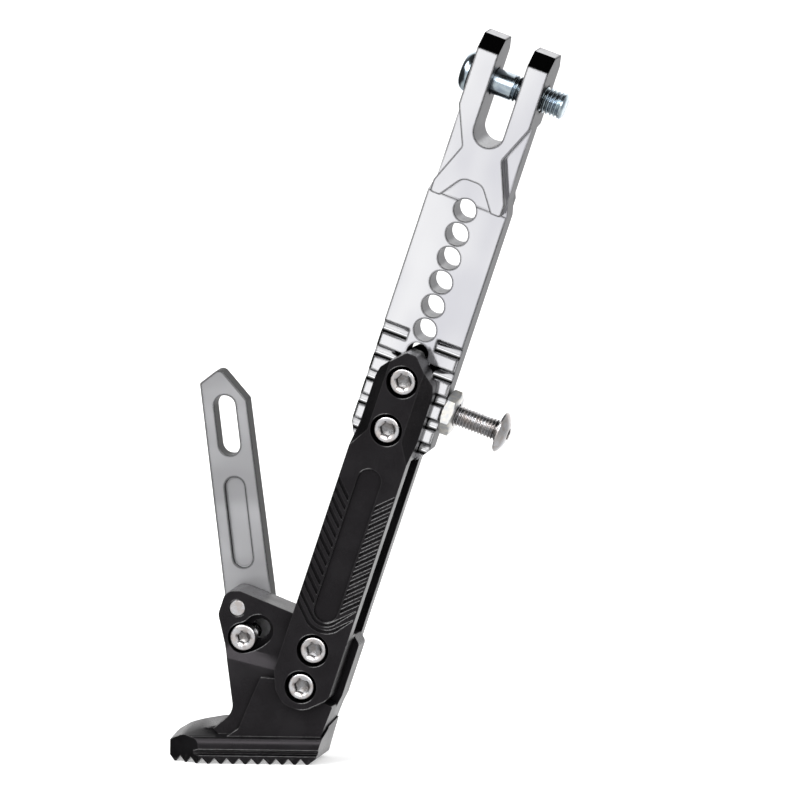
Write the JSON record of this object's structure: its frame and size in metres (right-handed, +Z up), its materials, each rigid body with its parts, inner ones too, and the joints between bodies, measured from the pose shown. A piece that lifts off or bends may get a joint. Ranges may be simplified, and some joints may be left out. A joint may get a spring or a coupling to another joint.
{
  "type": "motorcycle kickstand",
  "caption": "Adjustable motorcycle kickstand: forked arm with a row of holes, clamped two-plate leg, serrated foot and a tilting toe lever.",
  "frame": {"origin": "centre of the pivot bolt's free end face, on the hinge axis", "axes": "+Z up with the sole level, +X towards the side with the spring post, -Y towards the outer face with the socket screws; the leg leans 20.3 degrees, its top towards +X"},
  "size_m": [0.1587, 0.0303, 0.2746],
  "materials": {
    "arm_alloy": "polished bare aluminium",
    "leg_anodised": "satin black anodised aluminium",
    "foot_anodised": "black anodised aluminium, worn at the teeth",
    "lever_anodised": "fine bead-blasted grey aluminium",
    "stainless": "polished stainless steel",
    "blue_zinc": "blue zinc-plated steel",
    "zinc": "bright zinc-plated steel"
  },
  "bodies": {
    "pivot": {"pivot_bolt": "blue_zinc"},
    "arm": {"upper_arm": "arm_alloy", "spring_post_nut": "zinc"},
    "spring_post": {"spring_post_screw": "stainless"},
    "leg": {"leg_front_plate": "leg_anodised", "leg_rear_plate": "leg_anodised", "arm_screw_upper": "stainless", "arm_screw_lower": "stainless", "foot_screw_upper": "stainless", "foot_screw_lower": "stainless", "arm_nut_upper": "zinc", "arm_nut_lower": "zinc", "foot_nut_upper": "zinc", "foot_nut_lower": "zinc", "foot": "foot_anodised", "lever_pin": "stainless"},
    "lever": {"toe_lever": "lever_anodised", "lever_screw": "stainless", "lever_nut": "zinc"}
  },
  "joints": [
    {"name": "stand_swing", "type": "hinge", "parent": "pivot", "child": "arm", "pos_m": [0, 0, 0], "axis": [-0.9379, 0, 0.3469], "range_deg": [0, 100]},
    {"name": "length_adjust", "type": "slide", "parent": "arm", "child": "leg", "axis": [0.3469, 0, 0.9379], "range_m": [0, 0.0576]},
    {"name": "lever_tilt", "type": "hinge", "parent": "leg", "child": "lever", "pos_m": [-0.129, 0, -0.18782], "axis": [0, -1, 0], "range_deg": [0, 35]},
    {"name": "spring_post_reach", "type": "slide", "parent": "arm", "child": "spring_post", "axis": [0.9379, 0, -0.3469], "range_m": [0, 0.004]}
  ]
}
